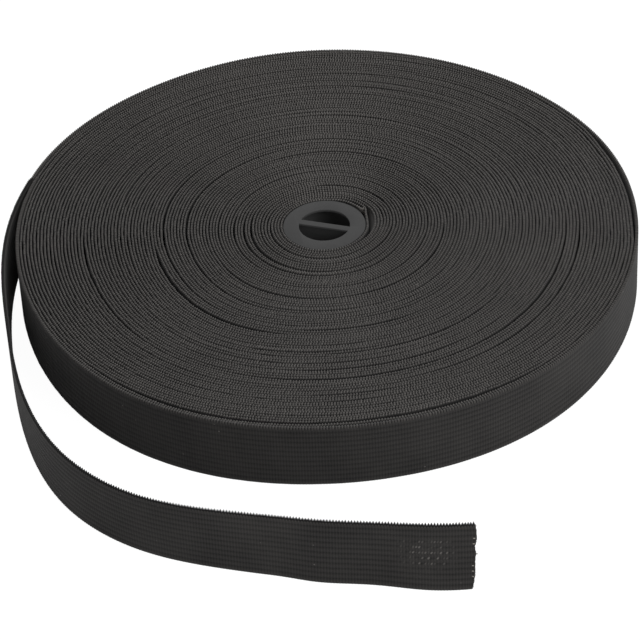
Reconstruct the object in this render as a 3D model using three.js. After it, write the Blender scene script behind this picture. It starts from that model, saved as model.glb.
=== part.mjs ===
// Roll of ribbed elastic tape, wound flat on a plastic core, with its loose end standing beside it.
// Millimetres, +Z up. The origin is on the core's axis, in the plane that the roll lies on.
// Azimuths are in degrees, anticlockwise from +X seen from above.
import * as THREE from "three";

// Driving dimensions
const tape = {
  width: 25, // also the height of the roll and of its core
  crestThickness: 1.15, // over the ribs of both faces
  ribs: 12, // lengthwise ribs across the width
  ribRise: 0.2, // crest over valley, on each face
};
const winding = {
  pitch: 1.194, // how much one turn adds to the radius
  meanRadius: 112.8, // of the outer wall, over the ribs
  leavesAt: 161, // azimuth at which the loose end leaves the roll
  stepTurn: 0.1, // degrees that the outer layer's end takes to step down to the layer below
  steps: 96, // straight facets round the wall
};
const core = {
  radius: 15,
  holeRadius: 9.2,
  webThickness: 2.6,
  webAzimuth: -18,
  arcPoints: 32, // points on each half of the hole
};
const clearance = 0.3; // between neighbouring pieces

// How far the wound roll is from round: each row swells the wall `lobes` times on the way round.
const outOfRound = [
  { lobes: 1, swell: 0.3, at: -55 },
  { lobes: 2, swell: 0.3, at: -175 },
  { lobes: 3, swell: 0.25, at: 30 },
  { lobes: 4, swell: 0.4, at: -150 },
  { lobes: 5, swell: 0.4, at: 95 },
];

// The wider gaps between turns that show on the upper face, from the rim inwards.
const widerGaps = [
  { radius: 110.3, from: 215, to: 318, wide: 1.0, deep: 1.6 },
  { radius: 87.4, from: 236, to: 352, wide: 0.8, deep: 1.2 },
  { radius: 62.4, from: 184, to: 262, wide: 1.1, deep: 1.6 },
  { radius: 42.3, from: 196, to: 356, wide: 0.9, deep: 1.4 },
  { radius: 28.6, from: 150, to: 300, wide: 1.2, deep: 1.6 },
  { radius: 24.9, from: 18, to: 118, wide: 1.2, deep: 1.6 },
];

// Plan of the loose end: control points of a smooth curve down the middle of the tape's thickness.
// lean is how far the upper edge falls back towards the roll from the lower one.
const looseEnd = [
  { x: -48.5, y: 111, lean: 0 },
  { x: -75, y: 86, lean: 0 },
  { x: -99, y: 58.5, lean: 0 },
  { x: -112.5, y: 24, lean: -0.5 },
  { x: -116, y: -12.5, lean: -0.5 },
  { x: -112, y: -48.5, lean: 0 },
  { x: -106.5, y: -84.5, lean: -0.5 },
  { x: -93, y: -119.5, lean: -0.5 },
  { x: -65, y: -144, lean: -1 },
  { x: -29, y: -154, lean: 0.5 },
  { x: 6, y: -163, lean: 2.5 },
  { x: 44, y: -168, lean: 4.5 },
  { x: 80.5, y: -167.5, lean: 5.5 },
];
const looseSteps = 44;

const materials = {
  elastic: new THREE.MeshStandardMaterial({ color: 0x2b2a29, roughness: 0.93, metalness: 0 }),
  plastic: new THREE.MeshStandardMaterial({ color: 0x474747, roughness: 0.6, metalness: 0 }),
};

const radians = THREE.MathUtils.degToRad;

// Two rows to a rib: its valley and its crest. Both edges of the tape are valleys.
const ribRows = Array.from({ length: 2 * tape.ribs + 1 }, (_, row) => ({
  z: (row * tape.width) / (2 * tape.ribs),
  sunk: row % 2 ? 0 : tape.ribRise,
}));

// A closed solid from cross-sections that all have the same number of points. A ring of sections
// joins up with itself. Otherwise the section is a face and its reverse, and the ends are capped
// by quads between them.
function solidFromSections(sections, isRing) {
  const around = sections[0].length;
  const faces = [];
  const addQuad = (a, b, c, d) => faces.push(a, b, c, a, c, d);
  const spans = isRing ? sections.length : sections.length - 1;
  for (let span = 0; span < spans; span++) {
    const here = span * around;
    const next = ((span + 1) % sections.length) * around;
    for (let i = 0; i < around; i++) {
      const j = (i + 1) % around;
      addQuad(here + i, next + i, next + j, here + j);
    }
  }
  if (!isRing) {
    const last = spans * around;
    for (let i = 0; i < around / 2 - 1; i++) {
      const across = around - 1 - i;
      addQuad(i, i + 1, across - 1, across);
      addQuad(last + across, last + across - 1, last + i + 1, last + i);
    }
  }
  const positions = sections.flat().flatMap((point) => [point.x, point.y, point.z]);
  const geometry = new THREE.BufferGeometry();
  geometry.setAttribute("position", new THREE.Float32BufferAttribute(positions, 3));
  geometry.setIndex(faces);
  geometry.computeVertexNormals();
  return geometry;
}

// Radius of the wound roll's outer wall, `turned` degrees after the loose end leaves it.
function wallRadius(turned) {
  const azimuth = winding.leavesAt + turned;
  const spiral = winding.pitch * (turned / 360 - 0.5);
  const swell = outOfRound.reduce(
    (sum, row) => sum + row.swell * Math.cos(radians(row.lobes * azimuth - row.at)),
    0,
  );
  return winding.meanRadius + spiral + swell;
}

// 0 outside a gap's stretch of the turn, 1 over its middle half.
function openness(gap, azimuth) {
  const middle = (gap.from + gap.to) / 2;
  const reach = (gap.to - gap.from) / 2;
  const off = THREE.MathUtils.euclideanModulo(azimuth - middle + 180, 360) - 180;
  return THREE.MathUtils.smoothstep(1 - Math.abs(off) / reach, 0, 0.5);
}

// Cross-section of the wound roll: inner wall, underside, ribbed wall, upper face with its gaps.
function rollSection(turned) {
  const azimuth = winding.leavesAt + turned;
  const wall = wallRadius(turned);
  const inner = core.radius + clearance;
  const profile = [
    [inner, tape.width],
    [inner, 0],
    ...ribRows.map((row) => [wall - row.sunk, row.z]),
  ];
  for (const gap of widerGaps) {
    const depth = gap.deep * openness(gap, azimuth);
    profile.push(
      [gap.radius + gap.wide / 2, tape.width],
      [gap.radius, tape.width - depth],
      [gap.radius - gap.wide / 2, tape.width],
    );
  }
  const [c, s] = [Math.cos(radians(azimuth)), Math.sin(radians(azimuth))];
  return profile.map(([radius, z]) => new THREE.Vector3(radius * c, radius * s, z));
}

// The wound tape on its core. The last section stands just short of the first one, one turn
// further out, so the ring closes with the step where the loose end leaves.
function makeRoll() {
  const sections = [];
  for (let step = 0; step < winding.steps; step++) {
    sections.push(rollSection((360 * step) / winding.steps));
  }
  sections.push(rollSection(360 - winding.stepTurn));
  return solidFromSections(sections, true);
}

// A uniform cubic B-spline through the loose end's rows, at 0 to 1 along it.
function looseEndAt(share) {
  const spans = looseEnd.length - 3;
  const along = THREE.MathUtils.clamp(share, 0, 1) * spans;
  const first = Math.min(Math.floor(along), spans - 1);
  const t = along - first;
  const weights = [
    (1 - t) ** 3 / 6,
    (3 * t ** 3 - 6 * t ** 2 + 4) / 6,
    (-3 * t ** 3 + 3 * t ** 2 + 3 * t + 1) / 6,
    t ** 3 / 6,
  ];
  const blend = (name) => weights.reduce((sum, w, i) => sum + w * looseEnd[first + i][name], 0);
  return { x: blend("x"), y: blend("y"), lean: blend("lean") };
}

// The share at which the loose end has come round to an azimuth.
function shareAtAzimuth(azimuth) {
  let [low, high] = [0, 0.5];
  for (let halving = 0; halving < 40; halving++) {
    const middle = (low + high) / 2;
    const { x, y } = looseEndAt(middle);
    const reached = THREE.MathUtils.euclideanModulo(THREE.MathUtils.radToDeg(Math.atan2(y, x)), 360);
    if (reached < azimuth) low = middle;
    else high = middle;
  }
  return low;
}

// Cross-section of the loose end: its outward face from the lower edge up, then its inward face down.
function looseSection(share) {
  const here = looseEndAt(share);
  const before = looseEndAt(share - 1e-3);
  const after = looseEndAt(share + 1e-3);
  const along = new THREE.Vector2(after.x - before.x, after.y - before.y).normalize();
  const outward = new THREE.Vector2(along.y, -along.x);
  const rise = Math.sqrt(tape.width ** 2 - here.lean ** 2) / tape.width;
  const point = (row, side) => {
    const fallsBack = (here.lean * row.z) / tape.width;
    const off = side * (tape.crestThickness / 2 - row.sunk) - fallsBack;
    return new THREE.Vector3(here.x + outward.x * off, here.y + outward.y * off, row.z * rise);
  };
  return [
    ...ribRows.map((row) => point(row, 1)),
    ...ribRows.map((row) => point(row, -1)).reverse(),
  ];
}

function makeTail() {
  const stepGap = THREE.MathUtils.radToDeg(clearance / winding.meanRadius);
  const start = shareAtAzimuth(winding.leavesAt + stepGap);
  const sections = [];
  for (let step = 0; step <= looseSteps; step++) {
    sections.push(looseSection(THREE.MathUtils.lerp(start, 1, step / looseSteps)));
  }
  return solidFromSections(sections, false);
}

// Half of the core's round hole, on one side of the web.
function halfHole(side) {
  const edge = core.webThickness / 2;
  const lift = Math.asin(edge / core.holeRadius);
  const middle = radians(core.webAzimuth) + (side * Math.PI) / 2;
  const sweep = Math.PI / 2 - lift;
  const hole = new THREE.Path();
  hole.absarc(0, 0, core.holeRadius, middle - sweep, middle + sweep, false);
  hole.closePath();
  return hole;
}

// The core: a flat ring as deep as the tape is wide, with a thin web across its hole.
function makeCore() {
  const outline = new THREE.Shape().absarc(0, 0, core.radius, 0, 2 * Math.PI, false);
  outline.holes.push(halfHole(1), halfHole(-1));
  return new THREE.ExtrudeGeometry(outline, {
    depth: tape.width,
    curveSegments: core.arcPoints,
    bevelEnabled: false,
  });
}

function addPiece(group, name, geometry, material) {
  const mesh = new THREE.Mesh(geometry, material);
  mesh.name = name;
  group.add(mesh);
}

const rollOfElastic = new THREE.Group();
addPiece(rollOfElastic, "core", makeCore(), materials.plastic);
addPiece(rollOfElastic, "roll", makeRoll(), materials.elastic);
addPiece(rollOfElastic, "tail", makeTail(), materials.elastic);

export default rollOfElastic;
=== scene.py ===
# Roll of black ribbed elastic, wound flat on a moulded core, its loose end standing beside it.
# Settings are in millimetres and degrees, and azimuths turn from +X towards +Y. Meshes are in metres.
import bpy
import math
import numpy as np
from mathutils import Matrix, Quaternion, Vector


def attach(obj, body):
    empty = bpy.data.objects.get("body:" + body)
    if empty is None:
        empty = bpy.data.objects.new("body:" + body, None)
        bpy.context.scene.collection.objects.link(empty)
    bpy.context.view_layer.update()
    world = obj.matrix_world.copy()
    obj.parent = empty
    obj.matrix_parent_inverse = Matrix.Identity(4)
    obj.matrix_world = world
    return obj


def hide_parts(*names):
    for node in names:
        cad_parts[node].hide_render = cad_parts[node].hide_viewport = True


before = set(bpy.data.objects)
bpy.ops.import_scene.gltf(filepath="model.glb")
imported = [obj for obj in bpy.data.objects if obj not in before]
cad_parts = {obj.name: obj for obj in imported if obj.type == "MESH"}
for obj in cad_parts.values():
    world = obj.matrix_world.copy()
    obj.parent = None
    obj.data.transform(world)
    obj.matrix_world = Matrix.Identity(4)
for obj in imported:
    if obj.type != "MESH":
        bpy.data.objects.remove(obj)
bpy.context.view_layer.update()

mm = 0.001
dice = np.random.default_rng(25)

# camera

camera = {
    "place": (0.0, -933.9, 724.0),
    "looksAt": (-3.1, -54.7, 25.0),
    "tilt": -2.886,  # about the line of sight
    "lens": 182.43,
    "sensor": 36.0,
}


def addCamera():
    data = bpy.data.cameras.new("stillCamera")
    data.lens = camera["lens"]
    data.sensor_width = camera["sensor"]
    data.clip_start = 0.01
    data.clip_end = 50
    still = bpy.data.objects.new("stillCamera", data)
    bpy.context.scene.collection.objects.link(still)
    place = Vector(camera["place"]) * mm
    sight = Vector(camera["looksAt"]) * mm - place
    still.location = place
    still.rotation_mode = "QUATERNION"
    tilt = Quaternion((0, 0, 1), math.radians(camera["tilt"]))
    still.rotation_quaternion = sight.to_track_quat("-Z", "Y") @ tilt
    bpy.context.scene.camera = still


addCamera()
print("camera set")

# the tape and the path it is wound along

tape = {
    "width": 25.0,
    "thickness": 1.15,  # over the ribs of both faces
    "ribs": 12,
    "ribRise": 0.17,
    "loop": 1.0,  # one selvedge loop, along the tape
    "loopRise": 0.19,
    "loopBulge": 0.09,
    "pickRise": 0.02,
    "loopSizes": (0.6, 1.4),
    "edgeWander": 0.10,
    "edgeWaves": (83, 131, 307, 811, 1930),
}
sectionStep = tape["loop"] / 2  # one section on each loop and one between
ribPitch = tape["width"] / tape["ribs"]

winding = {
    "innerEndAt": 35,
    "leavesAt": 161,
    "wholeTurns": 81,
    "firstRadius": 15.72,  # to the middle of the tape, as lastRadius is
    "lastRadius": 112.82,
    "hubPitch": 1.15,  # a turn's share of the radius at the hub; it grows evenly towards the rim
    "perTurn": 1440,  # path points in a turn
    "hubClimb": 0.08,  # share of a turn in which the tape climbs onto the turn below, at the hub
    "rimClimb": 0.60,
    "evenFrom": 50,  # turns out from the hub where the spiral is even
    "tightest": 1.04,  # least rise from turn to turn
    "wander": 0.05,
    "wanderWaves": (61, 97, 151, 237),
    "wanderEnds": 2,  # turns before the rim over which the wandering fades
    "roundLength": 6.28,  # a turn's length over its radius
    "easesOver": 14,  # degrees in which the outermost turn comes off the one below
    "easesBy": 0.22,
}
winding["turns"] = winding["wholeTurns"] + (winding["leavesAt"] - winding["innerEndAt"]) / 360

# How far the rim is from round: each row swells it `lobes` times on the way round.
outOfRound = [
    {"lobes": 1, "swell": 0.30, "at": -55},
    {"lobes": 2, "swell": 0.30, "at": -175},
    {"lobes": 3, "swell": 0.25, "at": 30},
    {"lobes": 4, "swell": 0.40, "at": -150},
    {"lobes": 5, "swell": 0.40, "at": 95},
]

# Where neighbouring turns stand apart, near a radius. `out` is the share that pushes outwards.
looserPlaces = [
    {"radius": 111.6, "from": -12, "to": 30, "wide": 0.85, "out": 0.0},
    {"radius": 110.4, "from": 215, "to": 318, "wide": 0.75, "out": 0.0},
    {"radius": 110.0, "from": 10, "to": 38, "wide": 0.45, "out": 0.0},
    {"radius": 92.0, "from": 280, "to": 364, "wide": 0.40, "out": 0.5},
    {"radius": 87.4, "from": 236, "to": 362, "wide": 0.55, "out": 0.5},
    {"radius": 86.5, "from": 178, "to": 230, "wide": 0.40, "out": 0.5},
    {"radius": 81.5, "from": 255, "to": 306, "wide": 0.35, "out": 0.5},
    {"radius": 74.0, "from": 244, "to": 330, "wide": 0.40, "out": 0.5},
    {"radius": 62.4, "from": 182, "to": 262, "wide": 0.75, "out": 0.5},
    {"radius": 60.5, "from": 256, "to": 300, "wide": 0.60, "out": 0.5},
    {"radius": 58.4, "from": 90, "to": 264, "wide": 0.40, "out": 0.5},
    {"radius": 49.5, "from": 70, "to": 275, "wide": 0.40, "out": 0.5},
    {"radius": 45.5, "from": 35, "to": 125, "wide": 0.45, "out": 0.5},
    {"radius": 42.3, "from": 194, "to": 362, "wide": 0.65, "out": 0.5},
    {"radius": 40.0, "from": 34, "to": 106, "wide": 0.45, "out": 0.5},
    {"radius": 36.5, "from": 206, "to": 362, "wide": 0.50, "out": 0.5},
    {"radius": 31.5, "from": 20, "to": 94, "wide": 0.45, "out": 0.6},
    {"radius": 32.3, "from": 158, "to": 240, "wide": 0.35, "out": 0.5},
    {"radius": 29.5, "from": 154, "to": 350, "wide": 0.65, "out": 0.6},
    {"radius": 27.1, "from": 150, "to": 340, "wide": 0.65, "out": 0.6},
    {"radius": 25.6, "from": 240, "to": 320, "wide": 0.35, "out": 0.6},
    {"radius": 24.9, "from": 18, "to": 106, "wide": 0.75, "out": 0.7},
    {"radius": 22.8, "from": 165, "to": 368, "wide": 0.60, "out": 0.7},
    {"radius": 19.8, "from": 165, "to": 335, "wide": 0.50, "out": 0.7},
]
loosenessFades = 7  # turns
besideMiddle = 0.2  # degrees, less than one step of the path

# The inner end stands off the core, and the turns bridge over it. Offsets are degrees from `at`.
innerEnd = {
    "at": 40,
    "lift": 0.65,
    "liftUntil": (22, 44),
    "firstBridge": 1.4,
    "laterBridge": 1.75,
    "bridgeFades": 14,
    "firstRise": (-20, -3),
    "laterRise": (-85, -36),
    "fall": (10, 58),
}
crumpledTip = [  # from the tip to where the first turn starts
    {"at": 31.5, "radius": 17.6},
    {"at": 32.5, "radius": 17.1},
    {"at": 33.2, "radius": 16.75},
    {"at": 34.5, "radius": 16.4},
    {"at": 37.0, "radius": 16.3},
]
tipSteps = 30  # points in each span of the tip's curve

# Plan of the loose end: control points of a smooth curve down the middle of the tape's thickness.
# lean is how far the upper edge falls back towards the roll from the lower one.
looseEnd = [
    {"x": -48.5, "y": 111.0, "lean": 0.0},
    {"x": -75.0, "y": 86.0, "lean": 0.0},
    {"x": -99.0, "y": 58.5, "lean": 0.0},
    {"x": -112.5, "y": 24.0, "lean": -0.5},
    {"x": -116.0, "y": -12.5, "lean": -0.5},
    {"x": -112.0, "y": -48.5, "lean": 0.0},
    {"x": -106.5, "y": -84.5, "lean": -0.5},
    {"x": -93.0, "y": -119.5, "lean": -0.5},
    {"x": -65.0, "y": -144.0, "lean": -1.0},
    {"x": -29.0, "y": -154.0, "lean": 0.5},
    {"x": 6.0, "y": -163.0, "lean": 2.5},
    {"x": 44.0, "y": -168.0, "lean": 4.5},
    {"x": 80.5, "y": -167.5, "lean": 5.5},
]
looseSteps = 120
looseFrom = 0.3  # degrees past the roll at which the loose end's own points begin


def smooth(value):
    value = np.clip(value, 0, 1)
    return value * value * (3 - 2 * value)


def between(value, low, high):
    return smooth((value - low) / (high - low))


# A slow, smooth wobble along the tape.
def wobble(along, wavelengths, size):
    waves = [np.sin(2 * math.pi * (along / length + dice.random())) for length in wavelengths]
    return size * sum(waves) / math.sqrt(len(waves) / 2)


# Turn number and offset in degrees of each path point, counted from an azimuth.
def turnsFrom(azimuth, turned):
    phase = turned - (azimuth - winding["innerEndAt"]) / 360
    turn = np.round(phase)
    return turn, (phase - turn) * 360


def windingRadii(turned):
    azimuth = winding["innerEndAt"] + 360 * turned
    turns, hubPitch = winding["turns"], winding["hubPitch"]
    rise = winding["lastRadius"] - winding["firstRadius"]
    growth = (rise - hubPitch * turns) / turns**2
    evenness = turned / winding["evenFrom"]
    climb = winding["hubClimb"] + (winding["rimClimb"] - winding["hubClimb"]) * np.clip(evenness, 0, 1)
    stepped = np.floor(turned) + between(turned % 1, 1 - climb, 1)
    swell = sum(
        row["swell"] * np.cos(np.radians(row["lobes"] * azimuth - row["at"])) for row in outOfRound
    )
    hubRadii = winding["firstRadius"] + (hubPitch + growth * stepped) * stepped
    rimRadii = winding["firstRadius"] + (hubPitch + growth * turned) * turned + swell
    radii = hubRadii + (rimRadii - hubRadii) * smooth(evenness)
    radii = radii + bridging(turned) + loosening(turned, radii)
    inside = smooth((turns - turned) / winding["wanderEnds"])
    length = turned * radii * winding["roundLength"]
    radii = radii + inside * wobble(length, winding["wanderWaves"], winding["wander"])
    leaving = smooth(1 - (turns - turned) * 360 / winding["easesOver"])
    return keptApart(radii) + winding["easesBy"] * leaving


# How far each point stands clear of the turn inside it.
def clearBelow(radii):
    below = np.zeros_like(radii)
    below[winding["perTurn"] :] = radii[winding["perTurn"] :] - radii[: -winding["perTurn"]]
    return np.maximum(below - winding["tightest"], 0)


# The first turn starts clear of the core, and the next ones bridge over its crumpled end.
def bridging(turned):
    turn, offset = turnsFrom(innerEnd["at"], turned)
    fall = 1 - between(offset, *innerEnd["fall"])
    firstRise = between(offset, *innerEnd["firstRise"])
    laterRise = between(offset, *innerEnd["laterRise"])
    rise = np.where(turn < 2, firstRise, laterRise)
    size = np.where(turn < 2, innerEnd["firstBridge"], innerEnd["laterBridge"])
    bridge = size * np.exp(-(turn - 1) / innerEnd["bridgeFades"]) * rise * fall
    lift = innerEnd["lift"] * (1 - between(offset, *innerEnd["liftUntil"]))
    return np.where(turn < 1, lift, bridge)


def loosening(turned, radii):
    push = np.zeros_like(radii)
    for place in looserPlaces:
        middle = (place["from"] + place["to"]) / 2
        reach = (place["to"] - place["from"]) / 2
        turn, offset = turnsFrom(middle, turned)
        atMiddle = np.abs(offset) < besideMiddle
        outside = turn[atMiddle & (radii > place["radius"])].min()
        strength = place["wide"] * smooth(2 * (1 - np.abs(offset) / reach))
        beyond = turn - outside
        outwards = place["out"] * np.exp(-np.maximum(beyond, 0) / loosenessFades)
        inwards = (place["out"] - 1) * np.exp(-np.maximum(-1 - beyond, 0) / loosenessFades)
        push += strength * np.where(beyond >= 0, outwards, inwards)
    return push


# No turn sinks into its neighbours: the rim holds from outside, then the hub from inside.
def keptApart(radii):
    perTurn = winding["perTurn"]
    rows = -(-len(radii) // perTurn)
    turns = np.full((rows, perTurn), np.inf)
    turns.flat[: len(radii)] = radii
    for row in range(rows - 1, 0, -1):
        turns[row - 1] = np.minimum(turns[row - 1], turns[row] - winding["tightest"])
    for row in range(1, rows):
        turns[row] = np.maximum(turns[row], turns[row - 1] + winding["tightest"])
    return turns.flat[: len(radii)]


# A uniform cubic B-spline through rows of control points.
def curveThrough(rows, names, perSpan):
    controls = np.array([[row[name] for name in names] for row in rows])
    t = np.linspace(0, 1, perSpan, endpoint=False)[:, None]
    weights = [(1 - t) ** 3, 3 * t**3 - 6 * t**2 + 4, -3 * t**3 + 3 * t**2 + 3 * t + 1, t**3]
    spans = []
    for first in range(len(controls) - 3):
        spans.append(sum(weight * controls[first + i] for i, weight in enumerate(weights)) / 6)
    spans.append(controls[-3:].T @ [1 / 6, 4 / 6, 1 / 6])
    return np.vstack(spans)


def polarToPlan(azimuth, radius):
    angle = np.radians(azimuth)
    return np.stack([radius * np.cos(angle), radius * np.sin(angle)], 1)


# The whole tape from its inner end to its cut end, as evenly spaced sections.
def tapePath():
    turned = np.arange(round(winding["turns"] * winding["perTurn"]) + 1) / winding["perTurn"]
    azimuth = winding["innerEndAt"] + 360 * turned
    tip = curveThrough(crumpledTip, ("at", "radius"), tipSteps)
    tip = polarToPlan(tip[:, 0], tip[:, 1])
    radii = windingRadii(turned)
    wound = polarToPlan(azimuth, radii)
    loose = curveThrough(looseEnd, ("x", "y", "lean"), looseSteps)
    looseAzimuth = np.degrees(np.arctan2(loose[:, 1], loose[:, 0])) % 360
    loose = loose[looseAzimuth > winding["leavesAt"] + looseFrom]
    plan = np.vstack([tip, wound, loose[:, :2]])
    lean = np.concatenate([np.zeros(len(tip) + len(wound)), loose[:, 2]])
    along = np.concatenate([[0], np.cumsum(np.linalg.norm(np.diff(plan, axis=0), axis=1))])
    leaves = along[len(tip) + len(wound) - 1]
    lastTurn = along[len(tip) + len(wound) - 1 - winding["perTurn"]]
    hub = along[len(tip) + hubStrip["turns"] * winding["perTurn"]]
    below = clearBelow(radii)
    above = np.append(below[winding["perTurn"] :], np.zeros(winding["perTurn"]))
    ends = (np.zeros(len(tip)), np.zeros(len(loose)))
    clear, above = (np.concatenate([ends[0], gap, ends[1]]) for gap in (below, above))
    every = woundStrip["footEvery"]
    stations = np.arange(0, along[-1], sectionStep)
    loopSizes = dice.uniform(*tape["loopSizes"], len(stations) // 2 + 1)
    plan = np.stack([np.interp(stations, along, plan[:, axis]) for axis in (0, 1)], 1)
    forward = np.gradient(plan, axis=0)
    forward /= np.linalg.norm(forward, axis=1)[:, None]
    return {
        "along": stations,
        "plan": plan,
        "forward": forward,
        "outward": np.stack([forward[:, 1], -forward[:, 0]], 1),
        "lean": np.interp(stations, along, lean),
        "clear": np.interp(stations, along, clear),
        "above": np.interp(stations, along, above),
        "loop": np.where(np.arange(len(stations)) % 2, -1.0, 1.0),
        "loopSize": np.repeat(loopSizes, 2)[: len(stations)],
        "hub": int(hub / sectionStep) // every * every,
        "lastTurn": int(lastTurn / sectionStep) // every * every,
        "leaves": int(leaves / sectionStep),
    }


woundStrip = {
    "crestOut": 0.04,  # offsets from the middle of the tape, outwards
    "crestIn": -0.35,
    "crestBelow": 0.10,
    "shoulder": (0.50, 0.38),  # at the closest side and at the most open one
    "outerBelow": (0.42, 1.0),  # the shoulders' depths
    "innerBelow": (0.40, 0.70),
    # crestTone, outerTone and innerTone paint light and shade: lit crests, shoulders in painted shade
    "crestTone": 0.97,
    "outerTone": 0.3,
    "innerTone": (0.9, 0.25),
    "foot": 0.45,
    "footAbove": 0.1,
    "footEvery": 4,  # sections
    "openAt": 135,  # azimuth at which the grooves between the turns are the most open
    "hubOpen": 0.5,  # how much more open they are round the hub
    "hubUntil": (28, 60),
    "gapShade": 0.08,  # gap to the next turn over which an outward shoulder's painted shade deepens
    "paleBack": 0.42,  # painted light: how much paler the loops are painted at the back and the front
    "paleFront": 0.12,
    "pieces": 4,
}
hubStrip = {
    "turns": 4,
    "flare": (23.6, 22.4, 21.0, 19.0),  # heights down which the inward face runs in to the turn inside
    "flareShare": (0.25, 0.6, 0.9, 1.0),
    "besideCore": (92, 104),  # painted shade on the first turn's inward edge, beside the core
    "flareTone": 0.40,
    "coreShade": 0.9,
    "paleTip": 3.5,  # how far along from the inner end the yarn is painted paler
    "tipOnTop": 0.9,
    "tipOnFlare": 0.8,
}

path = tapePath()
path["edge"] = wobble(path["along"], tape["edgeWaves"], tape["edgeWander"])

# tape meshes


# Where the tape's points lie, from their offsets across its thickness and their heights up it.
def stripPoints(stations, offsets, heights):
    plan, outward = path["plan"][stations], path["outward"][stations]
    lean = path["lean"][stations][:, None] / tape["width"]
    fallsBack = offsets - lean * heights
    points = np.empty((*offsets.shape, 3))
    points[:, :, :2] = plan[:, None, :] + outward[:, None, :] * fallsBack[:, :, None]
    points[:, :, 2] = heights * np.sqrt(1 - lean**2)
    return points.reshape(-1, 3)


# A mesh from groups of faces, each group an array with one face a row. The last two groups are flat.
def makePiece(name, points, faceGroups, weave, tones):
    corners = np.concatenate([group.ravel() for group in faceGroups])
    sizes = np.concatenate([np.full(len(group), group.shape[1]) for group in faceGroups])
    smoothCount = sum(len(group) for group in faceGroups[:-2])
    mesh = bpy.data.meshes.new(name)
    mesh.vertices.add(len(points))
    mesh.vertices.foreach_set("co", (points * mm).ravel())
    mesh.loops.add(len(corners))
    mesh.loops.foreach_set("vertex_index", corners)
    mesh.polygons.add(len(sizes))
    mesh.polygons.foreach_set("loop_start", np.concatenate([[0], np.cumsum(sizes)[:-1]]))
    mesh.polygons.foreach_set("use_smooth", np.arange(len(sizes)) < smoothCount)
    mesh.update(calc_edges=True)
    uvMap = mesh.uv_layers.new(name="weave")
    uvMap.uv.foreach_set("vector", weave[corners].astype(np.float32).ravel())
    tone = mesh.attributes.new("tone", "FLOAT", "POINT")
    tone.data.foreach_set("value", tones.astype(np.float32).ravel())
    piece = bpy.data.objects.new(name, mesh)
    bpy.context.scene.collection.objects.link(piece)
    return piece


def weaveOf(stations, across):
    along = path["along"][stations][:, None]
    return np.stack(np.broadcast_arrays(along, across), 2).reshape(-1, 2)


# A closed strip of tape. Each section's points run from the lower outward edge up, and back down the
# inward face.
def stripMesh(name, stations, offsets, heights, across, tones, pairedCaps=False):
    count, around = offsets.shape
    here = np.arange(count - 1)[:, None] * around
    i = np.arange(around)[None, :]
    j = (i + 1) % around
    quads = np.stack([here + i, here + around + i, here + around + j, here + j], 2).reshape(-1, 4)
    last = (count - 1) * around
    if pairedCaps:
        i = np.arange(around // 2 - 1)
        k = around - 1 - i
        caps = [np.stack([i, i + 1, k - 1, k], 1), last + np.stack([k, k - 1, i + 1, i], 1)]
    else:
        cap = np.arange(around)[None, :]
        caps = [cap, last + cap[:, ::-1]]
    points = stripPoints(stations, offsets, heights)
    return makePiece(name, points, [quads, *caps], weaveOf(stations, across), tones)


# Offsets, heights and tones of the four points along a wound turn's top, from its outward shoulder in.
def selvedgeRows(stations):
    loop = (path["loop"] * path["loopSize"])[stations]
    bulge = tape["loopBulge"] * loop
    rise = tape["loopRise"] * loop
    azimuth = np.arctan2(path["plan"][stations, 1], path["plan"][stations, 0])
    openness = 0.5 + 0.5 * np.cos(azimuth - math.radians(woundStrip["openAt"]))
    radius = np.linalg.norm(path["plan"][stations], axis=1)
    openness = openness + woundStrip["hubOpen"] * (1 - between(radius, *woundStrip["hubUntil"]))
    shoulder = np.interp(openness, (0, 1), woundStrip["shoulder"]) + bulge / 2
    crestOut, crestIn = woundStrip["crestOut"] + bulge, woundStrip["crestIn"] - bulge
    offsets = np.stack([shoulder, crestOut, crestIn, -shoulder], 1)
    top = tape["width"] + path["edge"][stations]
    crest = top - woundStrip["crestBelow"] + rise
    outer = top - np.interp(openness, (0, 1), woundStrip["outerBelow"]) + rise / 2
    inner = top - np.interp(openness, (0, 1), woundStrip["innerBelow"]) + rise / 2
    heights = np.stack([outer, crest, crest, inner], 1)
    # Painted light and shade: loop tops lighter than their notches, crests paler towards the back and
    # front, shoulders darker where the grooves open.
    back, front = woundStrip["paleBack"], woundStrip["paleFront"]
    facing = np.sin(azimuth)
    pale = np.where(facing > 0, back, front) * facing**2
    crestTone = (0.5 + 0.5 * loop) * (woundStrip["crestTone"] + pale)
    innerTone = np.interp(openness, (0, 1), woundStrip["innerTone"])
    shade = np.exp(-path["above"][stations] / woundStrip["gapShade"])
    outerTone = crestTone * woundStrip["outerTone"] * shade
    tones = np.stack([outerTone, crestTone, crestTone, crestTone * innerTone], 1)
    return offsets, heights, tones


# The innermost turns flare at the top where they stand clear of the turn inside.
def makeHubTurns():
    stations = np.arange(0, path["hub"] + 1)
    offsets, heights, tones = selvedgeRows(stations)
    clear = path["clear"][stations][:, None]
    shares, flare = np.array(hubStrip["flareShare"]), np.array(hubStrip["flare"])
    inward = -woundStrip["shoulder"][0] - clear * shares
    foot = woundStrip["footAbove"]
    ones = np.ones((len(stations), 1))
    offsets = np.hstack([woundStrip["foot"] * ones, offsets, inward, inward[:, -1:]])
    heights = np.hstack([foot * ones, heights, flare * ones, foot * ones])
    tip = np.exp(-path["along"][stations][:, None] / hubStrip["paleTip"])
    atCore = 1 - between(path["along"][stations][:, None], *hubStrip["besideCore"])
    # Painted shade: beside the core the inward points and the flare are painted dark; the flare is painted
    # darker than the crests.
    tones[:, 3:] *= 1 - atCore
    flareTone = hubStrip["flareTone"] * (1 - hubStrip["coreShade"] * atCore)
    flareTone = flareTone + hubStrip["tipOnFlare"] * tip
    topTones = tones + hubStrip["tipOnTop"] * tip
    tones = np.hstack([0 * ones, topTones, flareTone * np.ones_like(inward), 0 * ones])
    return stripMesh("hub_turns", stations, offsets, heights, heights, tones)


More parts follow.
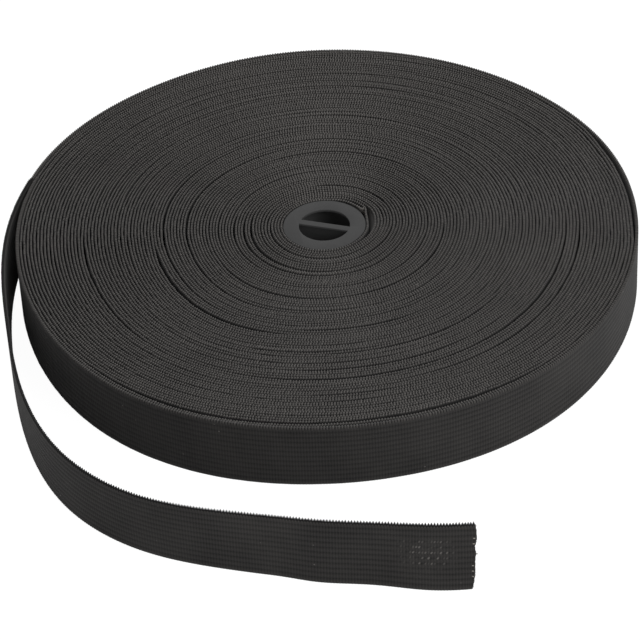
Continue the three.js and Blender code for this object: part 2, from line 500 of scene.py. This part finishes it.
# The other inner turns show only their upper selvedge.
def makeWoundTurns():
    turns = []
    every = woundStrip["footEvery"]
    bounds = np.linspace(path["hub"] // every, path["lastTurn"] // every, woundStrip["pieces"] + 1)
    bounds = bounds.astype(int) * every
    for number, (first, last) in enumerate(zip(bounds[:-1], bounds[1:]), 1):
        stations = np.arange(first, last + 1)
        turns.append(selvedgeMesh(f"wound_turns_{number}", stations, *selvedgeRows(stations)))
    return turns


# A closed strip with four points along its top at every section, and a foot on each side of every few.
def selvedgeMesh(name, stations, offsets, heights, tones):
    every = woundStrip["footEvery"]
    count = len(stations)
    feet = np.arange(0, count, every)
    footOffsets = np.tile([woundStrip["foot"], -woundStrip["foot"]], (len(feet), 1))
    footHeights = np.full_like(footOffsets, woundStrip["footAbove"])
    points = np.vstack([
        stripPoints(stations, offsets, heights),
        stripPoints(stations[feet], footOffsets, footHeights),
    ])
    here = (np.arange(count - 1)[:, None] * 4 + np.arange(3)).ravel()
    tops = np.stack([here, here + 4, here + 5, here + 1], 1)
    foot = count * 4 + 2 * np.arange(len(feet) - 1)[:, None]
    climb = feet[:-1, None] * 4 + 4 * np.arange(every + 1)
    outwards = np.hstack([climb[:, ::-1], foot, foot + 2])
    inwards = np.hstack([climb + 3, foot + 3, foot + 1])
    beneath = np.hstack([foot, foot + 1, foot + 3, foot + 2])
    start = np.array([[0, 1, 2, 3, count * 4 + 1, count * 4]])
    last = (count - 1) * 4
    lastFoot = count * 4 + 2 * (len(feet) - 1)
    end = np.array([[lastFoot, lastFoot + 1, last + 3, last + 2, last + 1, last]])
    weave = np.vstack([weaveOf(stations, heights), weaveOf(stations[feet], footHeights)])
    # the feet are painted fully dark, as painted shade deep between the turns
    tones = np.concatenate([tones.ravel(), np.zeros(footOffsets.size)])
    return makePiece(name, points, [tops, outwards, inwards, beneath, start, end], weave, tones)


fullFace = {
    "rowsPerRib": 4,
    "selvedge": 1.0,  # how far in from the edge the tape thins to its selvedge
    "edgeHalf": 0.42,
    "grooveSharpness": 1.5,
    "pickSizes": (0.4, 1.0),
    "backOffset": 0.6,
    "unevenLoops": 0.4,  # share of a tooth's size that follows its own loop
    "teethFrom": -0.05,
    "lowerLoop": 0.04,
    "lowerEdge": 0.06,
    "faceTone": 0.27,
    "grooveShade": 0.17,
    "loopTone": 0.5,
    "edgeTone": 0.3,
    "darkFade": 4,
}
# dark is painted shade along the upper edge
laidEdge = {"teeth": 1.0, "dark": 0.0}
standingEdge = {"teeth": 2.2, "dark": 1.8}


# Rows of a fully modelled face, from its lower to its upper edge.
def faceRows(stations, upperEdge):
    across = np.linspace(0, tape["width"], tape["ribs"] * fullFace["rowsPerRib"] + 1)
    groove = (0.5 + 0.5 * np.cos(2 * math.pi * across / ribPitch)) ** fullFace["grooveSharpness"]
    fromEdge = np.minimum(across, tape["width"] - across)
    thin = 1 - smooth(fromEdge / fullFace["selvedge"])
    half = tape["thickness"] / 2 - tape["ribRise"] * groove * (1 - thin)
    half = half + (fullFace["edgeHalf"] - tape["thickness"] / 2) * thin
    loop = (path["loop"] * path["loopSize"])[stations][:, None]
    pickSizes = dice.uniform(*fullFace["pickSizes"], (len(stations), len(across)))
    pick = path["loop"][stations][:, None] * pickSizes
    offsets = half + tape["pickRise"] * pick * (1 - thin) + tape["loopBulge"] * loop * thin
    edge = path["edge"][stations][:, None]
    upper = across > tape["width"] / 2
    uneven = fullFace["unevenLoops"]
    evenLoop = uneven * loop + (1 - uneven) * path["loop"][stations][:, None]
    teeth = tape["loopRise"] * upperEdge["teeth"] * evenLoop + fullFace["teethFrom"]
    lower = fullFace["lowerLoop"] * loop + fullFace["lowerEdge"]
    heights = across + thin * np.where(upper, teeth, lower)
    heights = heights + np.where(upper, edge * across / tape["width"], 0)
    # Painted light and shade: rib grooves darker, selvedge loops lighter than their notches, and a standing
    # upper edge dark.
    loopTone = thin * (fullFace["loopTone"] * loop + fullFace["edgeTone"])
    darkEdge = upperEdge["dark"] * upper * thin ** fullFace["darkFade"]
    tones = fullFace["faceTone"] - fullFace["grooveShade"] * groove + loopTone - darkEdge
    return across, offsets, heights, tones


# The outermost turn shows its whole outward face. Its hidden face is plain.
def makeOuterTurn():
    stations = np.arange(path["lastTurn"], path["leaves"] + 1)
    across, offsets, heights, tones = faceRows(stations, laidEdge)
    backRows = [-1, -3, len(across) // 2, 2, 0]
    offsets = np.hstack([offsets, -np.minimum(offsets[:, backRows], fullFace["backOffset"])])
    heights = np.hstack([heights, heights[:, backRows]])
    tones = np.hstack([tones, tones[:, backRows]])
    across = np.concatenate([across, across[backRows]])
    return stripMesh("outer_turn", stations, offsets, heights, across[None, :], tones)


cutEnd = {
    "worked": 4.0,  # how far back from the cut the tape is pulled out of shape
    "ribsStandOut": 0.12,
}
cutLine = [  # how far the cut lies beyond the tape's end, by height
    {"height": 0.0, "beyond": -1.45},
    {"height": 3.0, "beyond": -0.90},
    {"height": 6.0, "beyond": -0.52},
    {"height": 11.0, "beyond": -0.50},
    {"height": 13.5, "beyond": -0.22},
    {"height": 16.2, "beyond": -0.60},
    {"height": 19.2, "beyond": 0.12},
    {"height": 22.5, "beyond": -0.02},
    {"height": 25.0, "beyond": -0.36},
]
rippledEdge = {  # the lower edge, in millimetres back from the cut
    "out": 0.55,
    "crestAt": 13.7,
    "wavelength": 39.5,
    "fades": (50, 75),
    "upperShare": 0.35,
}
shinyPatch = {"back": 16.0, "long": 8.0, "height": 14.5, "tall": 5.0, "tone": 2.4}


def makeLooseEnd():
    stations = np.arange(path["leaves"], len(path["along"]))
    across, offsets, heights, tones = faceRows(stations, standingEdge)
    _, backOffsets, _, backTones = faceRows(stations, standingEdge)
    tones = tones + glints(stations, across)
    offsets = np.hstack([offsets, -backOffsets[:, ::-1]])
    heights = np.hstack([heights, heights[:, ::-1]])
    tones = np.hstack([tones, backTones[:, ::-1]])
    across = np.concatenate([across, across[::-1]])
    piece = stripMesh("loose_end", stations, offsets, heights, across[None, :], tones, True)
    pullCut(piece, stations, across)
    return piece


# A patch near the cut where the stitches in the grooves catch the light.
def glints(stations, across):
    back = path["along"][stations[-1]] - path["along"][stations][:, None]
    patch = np.exp(-(((back - shinyPatch["back"]) / shinyPatch["long"]) ** 4))
    patch = patch * np.exp(-(((across - shinyPatch["height"]) / shinyPatch["tall"]) ** 4))
    grooves = np.cos(math.pi * across / ribPitch) ** 6
    stitches = np.maximum(path["loop"][stations][:, None], 0) * dice.random(patch.shape) ** 2
    return shinyPatch["tone"] * patch * grooves * stitches


def cutBeyond(across):
    heights = [row["height"] for row in cutLine]
    beyond = np.interp(across, heights, [row["beyond"] for row in cutLine])
    return beyond + cutEnd["ribsStandOut"] * np.abs(np.sin(math.pi * across / ribPitch))


def pullCut(piece, stations, across):
    back = (path["along"][stations[-1]] - path["along"][stations])[:, None]
    onwards = smooth(1 - back / cutEnd["worked"]) * cutBeyond(across)
    wave = np.cos(2 * math.pi * (back - rippledEdge["crestAt"]) / rippledEdge["wavelength"])
    upperShare = 1 - (1 - rippledEdge["upperShare"]) * across / tape["width"]
    outwards = rippledEdge["out"] * wave * (1 - between(back, *rippledEdge["fades"])) * upperShare
    points = np.empty(len(piece.data.vertices) * 3)
    piece.data.vertices.foreach_get("co", points)
    points = points.reshape(len(stations), len(across), 3)
    points[:, :, :2] += mm * onwards[:, :, None] * path["forward"][stations][:, None, :]
    points[:, :, :2] += mm * outwards[:, :, None] * path["outward"][stations][:, None, :]
    piece.data.vertices.foreach_set("co", points.ravel())


woundTurns = [makeHubTurns(), *makeWoundTurns()]
print("wound turns made")
outerTurn = makeOuterTurn()
looseTape = makeLooseEnd()
print("outer turn and loose end made")

# the rubber threads that stand out of the cut, and frayed yarn at both ends

rubber = {
    "radius": 0.19,
    "bared": (2, 3, 4, 8, 9),  # ribs whose thread shows through the worn face, short of the cut
    "baredOffset": 0.48,
    "baredOut": (-0.65, -0.35),
    "hiddenOut": -0.05,
    "standingOut": 6,  # the rib whose thread stands out beyond the cut
    "standsOut": 0.5,
    "inside": 1.6,
    "bends": (0.3, 0.1),  # back from its end, where a thread turns outwards
    "endShare": 0.85,  # of its offset that is left at its end
    "sides": 10,
}
fray = {
    "thickness": 0.08,
    "spread": 0.55,
    "curl": 0.7,
    "acrossCut": (-0.42, 0.42),
    "rooted": 0.2,
    "points": 6,
    "endShare": 0.5,
    "sides": 5,
}
awkwardWay = (0.23, 0.31, 0.92)  # a direction that no thread runs along
cutEnds = {"count": 70, "heights": (0.2, 24.8), "length": (0.05, 0.4), "tone": 0.2}
tipEnds = {"count": 45, "heights": (22.0, 25.0), "length": (0.2, 1.0), "tone": 0.0}


# Round threads in one mesh, from rows of points along each and the radius at its two ends.
def threadsMesh(name, lines, radii, sides, tone):
    count, long = lines.shape[:2]
    forward = np.gradient(lines, axis=1)
    forward /= np.linalg.norm(forward, axis=2)[:, :, None]
    side = np.cross(forward, awkwardWay)
    side /= np.linalg.norm(side, axis=2)[:, :, None]
    upwards = np.cross(forward, side)
    angle = 2 * math.pi * np.arange(sides) / sides
    ring = side[:, :, None] * np.cos(angle)[:, None] + upwards[:, :, None] * np.sin(angle)[:, None]
    points = lines[:, :, None] + ring * np.linspace(*radii, long)[:, None, None]
    number = np.arange(points[..., 0].size).reshape(count, long, sides)
    onwards = np.roll(number, -1, axis=2)
    quads = np.stack([number[:, :-1], onwards[:, :-1], onwards[:, 1:], number[:, 1:]], 3).reshape(-1, 4)
    points = points.reshape(-1, 3)
    faces = [quads, number[:, 0, ::-1], number[:, -1]]
    return makePiece(name, points, faces, points[:, :2], np.full(len(points), tone))


def endPoint(station, offset, height):
    return stripPoints(np.array([station]), np.array([[offset]]), np.array([[height]]))[0]


def makeRubberEnds():
    end = len(path["along"]) - 1
    forward = np.append(path["forward"][end], 0)
    lines = []
    for rib in range(tape["ribs"]):
        height = (rib + 0.5) * ribPitch
        cut = cutBeyond(height)
        offset, out = 0.0, rubber["hiddenOut"]
        if rib in rubber["bared"]:
            offset, out = rubber["baredOffset"], dice.uniform(*rubber["baredOut"])
        if rib == rubber["standingOut"]:
            out = rubber["standsOut"]
        bends = [[cut + out - back] for back in rubber["bends"]]
        reach = np.array([[-rubber["inside"]], *bends, [cut + out]])
        shares = np.array([[0], [1], [1], [rubber["endShare"]]])
        outward = np.append(path["outward"][end], 0) * shares * offset
        lines.append(endPoint(end, 0.0, height) + reach * forward + outward)
    radii = (rubber["radius"], rubber["radius"])
    return threadsMesh("rubber_ends", np.array(lines), radii, rubber["sides"], 0.0)


def frayedYarn(name, station, away, ends, beyond):
    lines = []
    t = np.linspace(0, 1, fray["points"])[:, None]
    for _ in range(ends["count"]):
        height = dice.uniform(*ends["heights"])
        root = endPoint(station, dice.uniform(*fray["acrossCut"]), height)
        start = root + away * (beyond(height) - fray["rooted"])
        heading = away + dice.normal(0, fray["spread"], 3)
        heading /= np.linalg.norm(heading)
        bend = np.cross(heading, dice.normal(0, 1, 3)) * fray["curl"]
        length = dice.uniform(*ends["length"]) + fray["rooted"]
        lines.append(start + length * (t * heading + t**2 * bend / 2))
    radius = fray["thickness"] / 2
    radii = (radius, radius * fray["endShare"])
    return threadsMesh(name, np.array(lines), radii, fray["sides"], ends["tone"])


rubberEnds = makeRubberEnds()
cutForward = np.append(path["forward"][-1], 0)
tipBackward = -np.append(path["forward"][0], 0)
cutYarn = frayedYarn("cut_yarn", len(path["along"]) - 1, cutForward, cutEnds, cutBeyond)
tipYarn = frayedYarn("tip_yarn", 0, tipBackward, tipEnds, lambda height: 0.0)
print("rubber and frayed yarn made")

# the core

core = {
    "radius": 14.85,  # 0.15 less than the solid's, which leaves a dark line round it
    "webAzimuth": -18,
    "sides": 128,
    "edgeRound": 0.16,
    "edgeSteps": 2,
    "sharpFrom": 50,  # edges that turn by more than this are rounded
    "smoothUpTo": 30,
}
corePlugs = [  # the bore is wider between the two end plates, and its web thinner
    {"radius": 9.2, "web": 2.6, "from": 23.8, "to": 26.0},
    {"radius": 12.4, "web": 1.6, "from": 1.2, "to": 24.0},
    {"radius": 9.2, "web": 2.6, "from": -1.0, "to": 1.4},
]


def deselectAll():
    if bpy.context.object and bpy.context.object.mode != "OBJECT":
        bpy.ops.object.mode_set(mode="OBJECT")
    bpy.ops.object.select_all(action="DESELECT")


# Half of a bore, on one side of the web, to be cut out of the core.
def makePlug(row, side):
    deselectAll()
    height = row["to"] - row["from"]
    middle = (row["to"] + row["from"]) / 2 * mm
    bpy.ops.mesh.primitive_cylinder_add(
        vertices=core["sides"], radius=row["radius"] * mm, depth=height * mm, location=(0, 0, middle)
    )
    plug = bpy.context.object
    bpy.ops.object.transform_apply(location=True, rotation=True, scale=True)
    angle = math.radians(core["webAzimuth"] + 90)
    away = Vector((math.cos(angle), math.sin(angle), 0)) * side
    bpy.ops.object.mode_set(mode="EDIT")
    bpy.ops.mesh.select_all(action="SELECT")
    webFace = away * row["web"] / 2 * mm
    bpy.ops.mesh.bisect(plane_co=webFace, plane_no=away, use_fill=True, clear_inner=True)
    bpy.ops.object.mode_set(mode="OBJECT")
    return plug


def makeCore():
    deselectAll()
    height = tape["width"] * mm
    bpy.ops.mesh.primitive_cylinder_add(
        vertices=core["sides"], radius=core["radius"] * mm, depth=height, location=(0, 0, height / 2)
    )
    ring = bpy.context.object
    ring.name = "moulded_core"
    bpy.ops.object.transform_apply(location=True, rotation=True, scale=True)
    for row in corePlugs:
        for side in (1, -1):
            plug = makePlug(row, side)
            bpy.context.view_layer.objects.active = ring
            cut = ring.modifiers.new("bore", "BOOLEAN")
            cut.operation = "DIFFERENCE"
            cut.solver = "EXACT"
            cut.object = plug
            bpy.ops.object.modifier_apply(modifier=cut.name)
            bpy.data.objects.remove(plug)
    rounding = ring.modifiers.new("rounding", "BEVEL")
    rounding.width = core["edgeRound"] * mm
    rounding.segments = core["edgeSteps"]
    rounding.limit_method = "ANGLE"
    rounding.angle_limit = math.radians(core["sharpFrom"])
    bpy.ops.object.modifier_apply(modifier=rounding.name)
    deselectAll()
    ring.select_set(True)
    bpy.context.view_layer.objects.active = ring
    bpy.ops.object.shade_smooth_by_angle(angle=math.radians(core["smoothUpTo"]))
    return ring


mouldedCore = makeCore()
print("core made")

# materials


def colourOf(value):
    return (value, value, value, 1)


def setInputs(node, inputs):
    for name, value in inputs.items():
        node.inputs[name].default_value = value


def wire(tree, start, end):
    tree.links.new(start, end)


def maths(tree, operation, first, second=None, third=None):
    node = tree.nodes.new("ShaderNodeMath")
    node.operation = operation
    for socket, value in zip(node.inputs, (first, second, third)):
        if value is None:
            continue
        if isinstance(value, bpy.types.NodeSocket):
            wire(tree, value, socket)
        else:
            socket.default_value = value
    return node.outputs[0]


def newGroup(name, inputs, outputs):
    group = bpy.data.node_groups.new(name, "ShaderNodeTree")
    for label, kind, value in inputs:
        socket = group.interface.new_socket(label, in_out="INPUT", socket_type=kind)
        if value is not None:
            socket.default_value = value
    for label, kind in outputs:
        group.interface.new_socket(label, in_out="OUTPUT", socket_type=kind)
    return group, group.nodes.new("NodeGroupInput"), group.nodes.new("NodeGroupOutput")


knitForm = {
    "crestPower": 0.6,  # the lower, the narrower the grooves
    "columns": 4.0,  # of stitches in a rib
    "stagger": 0.15,
    "grooveHeight": -0.3,
    "threadHeight": 0.6,
}
speckRadius = 0.17  # share of a cell


# Threads of the ribbed knit, from a map of millimetres along and across the tape.
def makeKnitGroup():
    group, start, end = newGroup(
        "ribbedKnit",
        [
            ("Weave", "NodeSocketVector", None),
            ("Rib", "NodeSocketFloat", ribPitch),
            ("Stitch", "NodeSocketFloat", 1.0),
        ],
        [("Height", "NodeSocketFloat"), ("Groove", "NodeSocketFloat"), ("Thread", "NodeSocketFloat")],
    )
    split = group.nodes.new("ShaderNodeSeparateXYZ")
    wire(group, start.outputs["Weave"], split.inputs[0])
    along, across = split.outputs[0], split.outputs[1]
    ribs = maths(group, "DIVIDE", across, start.outputs["Rib"])
    ribWave = maths(group, "ABSOLUTE", maths(group, "SINE", maths(group, "MULTIPLY", ribs, math.pi)))
    groove = maths(group, "SUBTRACT", 1.0, maths(group, "POWER", ribWave, knitForm["crestPower"]))
    stitches = maths(group, "DIVIDE", along, start.outputs["Stitch"])
    columns = maths(group, "MULTIPLY", ribs, knitForm["columns"])
    zigzag = maths(group, "PINGPONG", columns, 1.0)
    offset = maths(group, "MULTIPLY", zigzag, knitForm["stagger"])
    stitchPhase = maths(group, "MULTIPLY", maths(group, "ADD", stitches, offset), 2 * math.pi)
    stitchWave = maths(group, "MULTIPLY_ADD", maths(group, "SINE", stitchPhase), 0.5, 0.5)
    columnWave = maths(group, "ABSOLUTE", maths(group, "SINE", maths(group, "MULTIPLY", columns, math.pi)))
    thread = maths(group, "MULTIPLY", stitchWave, columnWave)
    sunk = maths(group, "MULTIPLY", groove, knitForm["grooveHeight"])
    raised = maths(group, "MULTIPLY", thread, knitForm["threadHeight"])
    height = maths(group, "ADD", sunk, raised)
    wire(group, height, end.inputs["Height"])
    wire(group, groove, end.inputs["Groove"])
    wire(group, thread, end.inputs["Thread"])
    return group


# Cloudy unevenness and tiny pale specks, shared by the cloth and the plastic.
def makeUnevenGroup():
    group, start, end = newGroup(
        "unevenSurface",
        [
            ("Place", "NodeSocketVector", None),
            ("Cloud Scale", "NodeSocketFloat", 40.0),
            ("Speck Scale", "NodeSocketFloat", 900.0),
            ("Speck Share", "NodeSocketFloat", 0.1),
        ],
        [("Cloud", "NodeSocketFloat"), ("Specks", "NodeSocketFloat")],
    )
    cloud = group.nodes.new("ShaderNodeTexNoise")
    setInputs(cloud, {"Detail": 4.0, "Roughness": 0.6})
    wire(group, start.outputs["Place"], cloud.inputs["Vector"])
    wire(group, start.outputs["Cloud Scale"], cloud.inputs["Scale"])
    speck = group.nodes.new("ShaderNodeTexVoronoi")
    wire(group, start.outputs["Place"], speck.inputs["Vector"])
    wire(group, start.outputs["Speck Scale"], speck.inputs["Scale"])
    small = maths(group, "LESS_THAN", speck.outputs["Distance"], speckRadius)
    split = group.nodes.new("ShaderNodeSeparateColor")
    wire(group, speck.outputs["Color"], split.inputs[0])
    few = maths(group, "LESS_THAN", split.outputs[0], start.outputs["Speck Share"])
    wire(group, cloud.outputs[0], end.inputs["Cloud"])
    wire(group, maths(group, "MULTIPLY", small, few), end.inputs["Specks"])
    return group


knitGroup = makeKnitGroup()
unevenGroup = makeUnevenGroup()


def newMaterial(name):
    material = bpy.data.materials.new(name)
    material.use_nodes = True
    tree = material.node_tree
    return material, tree, tree.nodes["Principled BSDF"]


def useGroup(tree, group, inputs):
    node = tree.nodes.new("ShaderNodeGroup")
    node.node_tree = group
    setInputs(node, inputs)
    return node


def mixColours(tree, factor, low, high):
    mix = tree.nodes.new("ShaderNodeMix")
    mix.data_type = "RGBA"
    for socket, value in ((mix.inputs["Factor"], factor), (mix.inputs[6], low), (mix.inputs[7], high)):
        if isinstance(value, bpy.types.NodeSocket):
            wire(tree, value, socket)
        else:
            socket.default_value = value
    return mix.outputs[2]


elastic = {
    "shadeYarn": (0.0045, 0.0042, 0.0043, 1),
    "litYarn": (0.0830, 0.0780, 0.0735, 1),
    "speck": (0.09, 0.085, 0.08, 1),
    "roughness": 0.9,
    "bumpDepth": 0.10,
    "leastLight": -0.06,
    "threadLight": 0.17,
    "toneLight": 0.81,
    "cloudLight": 0.25,
    "middleCloud": 0.5,
}


def makeElasticMaterial():
    material, tree, shader = newMaterial("black_elastic")
    weave = tree.nodes.new("ShaderNodeUVMap")
    weave.uv_map = "weave"
    tone = tree.nodes.new("ShaderNodeAttribute")
    tone.attribute_name = "tone"
    place = tree.nodes.new("ShaderNodeTexCoord")
    knit = useGroup(tree, knitGroup, {"Rib": ribPitch, "Stitch": tape["loop"]})
    wire(tree, weave.outputs["UV"], knit.inputs["Weave"])
    uneven = useGroup(tree, unevenGroup, {"Cloud Scale": 55.0, "Speck Scale": 700.0, "Speck Share": 0.008})
    wire(tree, place.outputs["Object"], uneven.inputs["Place"])
    thread = knit.outputs["Thread"]
    # The tone attribute holds painted light and shade, and with the threads and cloud mixes the yarn
    # between its shaded and its lit colour.
    light = maths(tree, "MULTIPLY_ADD", thread, elastic["threadLight"], elastic["leastLight"])
    light = maths(tree, "MULTIPLY_ADD", tone.outputs["Fac"], elastic["toneLight"], light)
    cloud = maths(tree, "SUBTRACT", uneven.outputs["Cloud"], elastic["middleCloud"])
    light = maths(tree, "MULTIPLY_ADD", cloud, elastic["cloudLight"], light)
    yarn = mixColours(tree, light, elastic["shadeYarn"], elastic["litYarn"])
    speckled = mixColours(tree, uneven.outputs["Specks"], yarn, elastic["speck"])
    wire(tree, speckled, shader.inputs["Base Color"])
    bump = tree.nodes.new("ShaderNodeBump")
    setInputs(bump, {"Strength": 0.8, "Distance": elastic["bumpDepth"] * mm})
    wire(tree, knit.outputs["Height"], bump.inputs["Height"])
    wire(tree, bump.outputs["Normal"], shader.inputs["Normal"])
    setInputs(shader, {"Roughness": elastic["roughness"], "Specular IOR Level": 0.2, "Sheen Weight": 0.05})
    return material


plastic = {
    "low": (0.028, 0.028, 0.028, 1),
    "high": (0.041, 0.041, 0.041, 1),
    "roughness": 0.75,
    "grain": 0.03,
    "rimShadeRadii": (14.5, 14.7),  # painted shade: the rim's edge is painted dark, front and back
    "rimShadeColour": (0.004, 0.004, 0.004, 1),
    "rimShadeFacing": (0.3, 0.7),  # how far to the front or back the painted shade starts and is full
}


# Painted shade on the rim: full beyond the outer radius, front and back, and none at the sides.
def rimShadeMask(tree, place):
    split = tree.nodes.new("ShaderNodeSeparateXYZ")
    wire(tree, place, split.inputs[0])
    squares = maths(tree, "MULTIPLY", split.outputs[0], split.outputs[0])
    squares = maths(tree, "MULTIPLY_ADD", split.outputs[1], split.outputs[1], squares)
    radius = maths(tree, "SQRT", squares)
    rim = tree.nodes.new("ShaderNodeMapRange")
    low, high = plastic["rimShadeRadii"]
    setInputs(rim, {"From Min": low * mm, "From Max": high * mm})
    wire(tree, radius, rim.inputs["Value"])
    facing = maths(tree, "DIVIDE", maths(tree, "ABSOLUTE", split.outputs[1]), radius)
    sides = tree.nodes.new("ShaderNodeMapRange")
    low, high = plastic["rimShadeFacing"]
    setInputs(sides, {"From Min": low, "From Max": high})
    wire(tree, facing, sides.inputs["Value"])
    return maths(tree, "MULTIPLY", rim.outputs[0], sides.outputs[0])


def makePlasticMaterial():
    material, tree, shader = newMaterial("matte_core_plastic")
    place = tree.nodes.new("ShaderNodeTexCoord")
    uneven = useGroup(tree, unevenGroup, {"Cloud Scale": 90.0, "Speck Scale": 500.0, "Speck Share": 0.02})
    wire(tree, place.outputs["Object"], uneven.inputs["Place"])
    colour = mixColours(tree, uneven.outputs["Cloud"], plastic["low"], plastic["high"])
    # painted shade darkens the rim's edge
    colour = mixColours(tree, rimShadeMask(tree, place.outputs["Object"]), colour, plastic["rimShadeColour"])
    wire(tree, colour, shader.inputs["Base Color"])
    grain = tree.nodes.new("ShaderNodeTexNoise")
    setInputs(grain, {"Scale": 2600.0, "Detail": 2.0})
    wire(tree, place.outputs["Object"], grain.inputs["Vector"])
    bump = tree.nodes.new("ShaderNodeBump")
    setInputs(bump, {"Strength": 0.5, "Distance": plastic["grain"] * mm})
    wire(tree, grain.outputs[0], bump.inputs["Height"])
    wire(tree, bump.outputs["Normal"], shader.inputs["Normal"])
    setInputs(shader, {"Roughness": plastic["roughness"], "Specular IOR Level": 0.1})
    return material


rubberThread = {
    "low": (0.11, 0.105, 0.095, 1),
    "high": (0.24, 0.225, 0.20, 1),
    "roughness": 0.6,
}


def makeRubberMaterial():
    material, tree, shader = newMaterial("rubber_thread")
    place = tree.nodes.new("ShaderNodeTexCoord")
    uneven = useGroup(tree, unevenGroup, {"Cloud Scale": 1500.0, "Speck Scale": 3000.0, "Speck Share": 0.0})
    wire(tree, place.outputs["Object"], uneven.inputs["Place"])
    colour = mixColours(tree, uneven.outputs["Cloud"], rubberThread["low"], rubberThread["high"])
    wire(tree, colour, shader.inputs["Base Color"])
    setInputs(shader, {"Roughness": rubberThread["roughness"], "Specular IOR Level": 0.3})
    return material


elasticMaterial = makeElasticMaterial()
rubberMaterial = makeRubberMaterial()
plasticMaterial = makePlasticMaterial()


def placePiece(piece, material, node):
    piece.data.materials.clear()
    piece.data.materials.append(material)
    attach(piece, "root")
    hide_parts(node)


for piece in (*woundTurns, outerTurn):
    placePiece(piece, elasticMaterial, "roll")
placePiece(tipYarn, rubberMaterial, "roll")
for piece in (looseTape, cutYarn):
    placePiece(piece, elasticMaterial, "tail")
placePiece(rubberEnds, rubberMaterial, "tail")
placePiece(mouldedCore, plasticMaterial, "core")
print("materials and rides set")

# floor and lights

studio = {
    "floorSize": 30.0,  # metres
    "floorBelow": 0.05,
    "floorColour": (0.60, 0.60, 0.60, 1),
    "floorGlow": 1.15,
    "shadowShare": 0.17,  # how much of the floor's real shading the camera sees
    "worldLight": 0.88,
}
lamps = [  # places in metres
    {"name": "frontPanel", "place": (0.94, -0.79, 0.86), "size": 0.9, "watts": 15.0},
    {"name": "backPanel", "place": (0.0, 1.23, 0.86), "size": 0.9, "watts": 10.5},
]


def addFloor():
    deselectAll()
    below = (0, 0, -studio["floorBelow"] * mm)
    bpy.ops.mesh.primitive_plane_add(size=studio["floorSize"], location=below)
    floor = bpy.context.object
    floor.name = "floor"
    material, tree, shader = newMaterial("pale_floor")
    setInputs(shader, {"Base Color": studio["floorColour"], "Roughness": 1.0, "Specular IOR Level": 0.0})
    glow = tree.nodes.new("ShaderNodeEmission")
    glow.inputs["Strength"].default_value = studio["floorGlow"]
    ray = tree.nodes.new("ShaderNodeLightPath")
    mix = tree.nodes.new("ShaderNodeMixShader")
    seen = maths(tree, "MULTIPLY", ray.outputs["Is Camera Ray"], 1 - studio["shadowShare"])
    wire(tree, seen, mix.inputs[0])
    wire(tree, shader.outputs[0], mix.inputs[1])
    wire(tree, glow.outputs[0], mix.inputs[2])
    wire(tree, mix.outputs[0], tree.nodes["Material Output"].inputs["Surface"])
    floor.data.materials.append(material)


def addLights():
    for lamp in lamps:
        data = bpy.data.lights.new(lamp["name"], "AREA")
        data.shape = "DISK"
        data.size = lamp["size"]
        data.energy = lamp["watts"]
        panel = bpy.data.objects.new(lamp["name"], data)
        bpy.context.scene.collection.objects.link(panel)
        panel.location = lamp["place"]
        panel.rotation_mode = "QUATERNION"
        panel.rotation_quaternion = (-Vector(lamp["place"])).to_track_quat("-Z", "Y")
    world = bpy.data.worlds.new("studio")
    world.use_nodes = True
    background = world.node_tree.nodes["Background"]
    background.inputs["Color"].default_value = colourOf(1.0)
    background.inputs["Strength"].default_value = studio["worldLight"]
    bpy.context.scene.world = world
    bpy.context.scene.view_settings.view_transform = "Standard"


addFloor()
addLights()
print("studio set")
